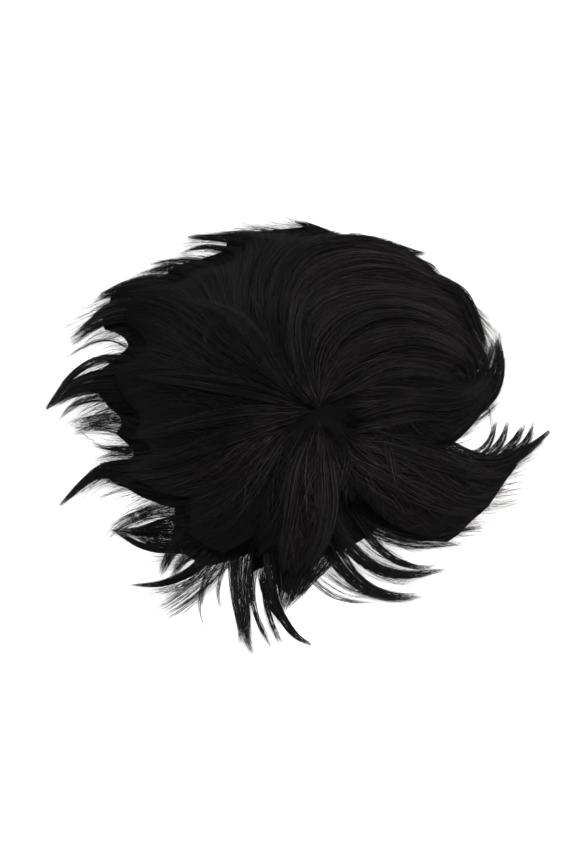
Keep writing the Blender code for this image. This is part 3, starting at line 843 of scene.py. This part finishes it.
def packingPiece(hair):
    # the closely packed hair under the strands, which keeps the table from showing through; where strands are bare, its
    # dark colour shows as painted shade
    acrossSteps, alongSteps = hair["packSteps"]
    rng = np.random.default_rng(hair["seed"])
    mesh = bmesh.new()
    low, high = mesh.verts.layers.float.new("low"), mesh.verts.layers.float.new("high")
    for row in range(len(guides)):
        grid = bmesh.ops.create_grid(mesh, x_segments=acrossSteps, y_segments=alongSteps, size=0.5)["verts"]
        across, share = np.array([[v.co.x + 0.5, v.co.y + 0.5] for v in grid]).T
        along = share * packedReach(row, across) * hair["reach"] * hair["packShare"]
        plan = guidePlace(hair["layer"], row, across, along)
        below, own = (layerTop(name, plan[:, 0], plan[:, 1]) for name in (hair["below"], hair["layer"]))
        ridge = 1 - hair["packRelief"] * rng.random(acrossSteps + 1)[np.round(across * acrossSteps).astype(int)]
        edge = 1 - packing["edgeDrop"] * smooth(packing["edgeFrom"], 1.0, share)
        rising = smooth(0.0, packing["rootRun"], share - guideBare[row])
        shape = ridge * edge * (packing["rootLevel"] + (1 - packing["rootLevel"]) * rising)
        upper = below + (own - below) * hair["packDepth"] * shape
        lower = below + (own - below) * packing["floorLevel"]
        for vert, place, bottom, top in zip(grid, plan, lower, upper):
            vert.co.xy, vert.co.z = place, 0
            vert[low], vert[high] = bottom, top
    bmesh.ops.remove_doubles(mesh, verts=mesh.verts[:], dist=packing["joinWithin"])
    border = [edge for edge in mesh.edges if edge.is_boundary]
    ring = [edge for edge in border if (edge.verts[0].co.xy - Vector(whorl)).length < packing["whorlRing"]]
    bmesh.ops.holes_fill(mesh, edges=ring, sides=0)
    raised = bmesh.ops.extrude_face_region(mesh, geom=mesh.faces[:])
    upperVerts = {item for item in raised["geom"] if isinstance(item, bmesh.types.BMVert)}
    for vert in mesh.verts:
        vert.co.z = vert[high] if vert in upperVerts else vert[low]
    bmesh.ops.recalc_face_normals(mesh, faces=mesh.faces[:])
    data = bpy.data.meshes.new(hair["packName"])
    mesh.to_mesh(data)
    mesh.free()
    data.shade_smooth()
    data.materials.append(packed)
    packedHair = bpy.data.objects.new(hair["packName"], data)
    bpy.context.scene.collection.objects.link(packedHair)
    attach(packedHair, "root")
    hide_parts(hair["node"])
    print("toupee:", packedHair.name, len(data.polygons), "faces")


# wispLevels: fewest and most wisps between two guides, how far strands gather, the wisps' bow (m) and uneven ends
underHair = {
    "node": "under_layer", "slot": "under_fibre", "layer": "under", "below": "seat",
    "names": ("underHairBack", "underHairFront"), "cuts": (17,), "packName": "underPacking",
    "seed": 11, "strands": 7200, "points": 12, "roots": (0.40, 0.85), "rootPull": 1.0,
    "wispLevels": ((1, 3, 0.2, 0.0012, 0.06), (4, 8, 0.5, 0.0012, 0.14)), "reach": 1.24, "uneven": 0.34,
    "shortShare": 0.10, "fray": 0.0018, "cross": 0.0010, "relief": 0.0004, "strandLift": 0.003,
    "toneShare": 0.75, "widthMm": 0.17, "packSteps": (10, 9), "packRelief": 0.25, "packShare": 0.76, "packDepth": 0.62,
}
middleHair = {
    "node": "middle_layer", "slot": "middle_fibre", "layer": "middle", "below": "under",
    "names": ("middleHair",), "cuts": (), "packName": "middlePacking",
    "seed": 12, "strands": 4200, "points": 13, "roots": (0.1, 0.6), "rootPull": 1.0,
    "wispLevels": ((1, 3, 0.15, 0.0015, 0.10), (4, 9, 0.35, 0.0012, 0.14)), "reach": 1.12, "uneven": 0.45,
    "shortShare": 0.10, "fray": 0.0020, "cross": 0.0012, "relief": 0.0004, "strandLift": 0.003,
    "toneShare": 0.75, "widthMm": 0.17, "packSteps": (10, 9), "packRelief": 0.25, "packShare": 0.78, "packDepth": 0.6,
}
topHair = {
    "node": "top_layer", "slot": "top_fibre", "layer": "top", "below": "middle",
    "names": ("topHairBack", "topHairFront"), "cuts": (15,), "packName": "topPacking",
    "seed": 13, "strands": 8400, "points": 15, "roots": (0.0, 0.75), "rootPull": 1.4,
    "wispLevels": ((1, 3, 0.10, 0.0024, 0.10), (4, 10, 0.22, 0.0012, 0.14)), "reach": 1.06, "uneven": 0.5,
    "shortShare": 0.22, "fray": 0.0020, "cross": 0.0020, "relief": 0.0003, "strandLift": 0.003,
    "toneShare": 0.75, "widthMm": 0.16, "packSteps": (10, 11), "packRelief": 0.2, "packShare": 0.80, "packDepth": 0.6,
}
edgeHair = {
    "node": "under_layer", "slot": "under_fibre", "layer": "under", "below": "seat",
    "names": ("edgeHair",), "cuts": (), "seed": 15, "strands": 3400, "points": 9,
    "roots": (0.72, 0.92), "rootPull": 1.0, "wispLevels": ((2, 5, 0.3, 0.0012, 0.06),), "reach": 1.28,
    "uneven": 0.20, "shortShare": 0.0, "fray": 0.0026, "cross": 0.0020, "relief": 0.0,
    "strandLift": 0.006, "toneShare": 0.5, "widthMm": 0.13,
}
# tints are shares of the coal fibre, the brown painted-highlight fibre and the blue painted-sheen fibre
clearHair = {
    "node": "under_layer", "slot": "under_fibre", "layer": "under", "seed": 14, "points": 12,
    "level": 0.62, "thick": 0.36, "uneven": 0.22, "looseShare": 0.11, "wander": 0.0003, "strandLift": 0.002,
    "widthMm": 0.17, "tints": (0.6, 0.2, 0.2),
}
crownHair = {
    "node": "top_layer", "slot": "top_fibre", "layer": "top", "seed": 16, "points": 12,
    "level": 0.97, "thick": 0.05, "uneven": 0.45, "looseShare": 0.10, "wander": 0.0008, "strandLift": 0.002,
    "widthMm": 0.16, "tints": (0.35, 0.50, 0.15),
}
for hair in (underHair, middleHair, topHair):
    packingPiece(hair)
for hair in (underHair, middleHair, topHair, edgeHair):
    combedPieces(hair)
laid = list(clearLocks.values())
laidLockPiece(clearHair, "clearLocksBack", laid[: len(laid) // 2])
laidLockPiece(clearHair, "clearLocksFront", laid[len(laid) // 2 :])
laidLockPiece(crownHair, "crownLocks", crownLocks.values())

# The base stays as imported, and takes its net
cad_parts["base_cap"].data.materials.clear()
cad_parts["base_cap"].data.materials.append(netMaterial())
print("toupee: base net finished")

studio = {
    "floorSide": 12.0,
    "floorWhite": "#f4f4f4",
    "floorGlow": 1.0,
    "worldGlow": 0.38,
    # name: place about the whorl, width, height, watts, colour
    "lamps": {
        "overheadSoftbox": ((0.45, -0.05, 1.6), 1.2, 1.2, 18, "#fff6f2"),
        "backSoftbox": ((0.7, 1.0, 1.0), 1.0, 0.8, 3.5, "#fff4ee"),
        "sideSoftbox": ((-1.2, 0.4, 0.9), 0.8, 0.8, 2, "#dfe8ff"),
    },
}


def buildStudio():
    side = studio["floorSide"] / 2
    corners = [(-side, -side, 0), (side, -side, 0), (side, side, 0), (-side, side, 0)]
    material, tree, shader = newMaterial("whiteTable")
    # sprayed white laminate, lit until it reads as plain white
    place = addNode(tree, "ShaderNodeTexCoord")
    grain = addNode(
        tree, "ShaderNodeTexNoise", Scale=1000 / 3.0, Detail=2.0, links={"Vector": place.outputs["Object"]}
    )
    bump = addNode(
        tree, "ShaderNodeBump", Strength=0.05, Distance=0.0002, links={"Height": grain.outputs["Fac"]}
    )
    tree.links.new(bump.outputs["Normal"], shader.inputs["Normal"])
    shader.inputs["Base Color"].default_value = linear(studio["floorWhite"])
    shader.inputs["Roughness"].default_value = 0.7
    shader.inputs["Emission Color"].default_value = (1, 1, 1, 1)
    shader.inputs["Emission Strength"].default_value = studio["floorGlow"]
    table = addPiece("table", corners, [(0, 1, 2, 3)], [material])
    world = bpy.data.worlds.new("studio")
    world.use_nodes = True
    world.node_tree.nodes["Background"].inputs["Color"].default_value = (1, 1, 1, 1)
    world.node_tree.nodes["Background"].inputs["Strength"].default_value = studio["worldGlow"]
    bpy.context.scene.world = world
    target = Vector((whorl[0], whorl[1], 0.03))
    for name, (place, width, height, watts, colour) in studio["lamps"].items():
        light = bpy.data.lights.new(name, "AREA")
        light.shape, light.size, light.size_y = "RECTANGLE", width, height
        light.energy, light.color = watts, linear(colour)[:3]
        lamp = bpy.data.objects.new(name, light)
        lamp.location = Vector((whorl[0], whorl[1], 0)) + Vector(place)
        lamp.rotation_euler = (target - lamp.location).to_track_quat("-Z", "Y").to_euler()
        bpy.context.scene.collection.objects.link(lamp)


buildCamera()
buildStudio()
bpy.context.scene.view_settings.view_transform = "Standard"
print("toupee: studio and camera set")
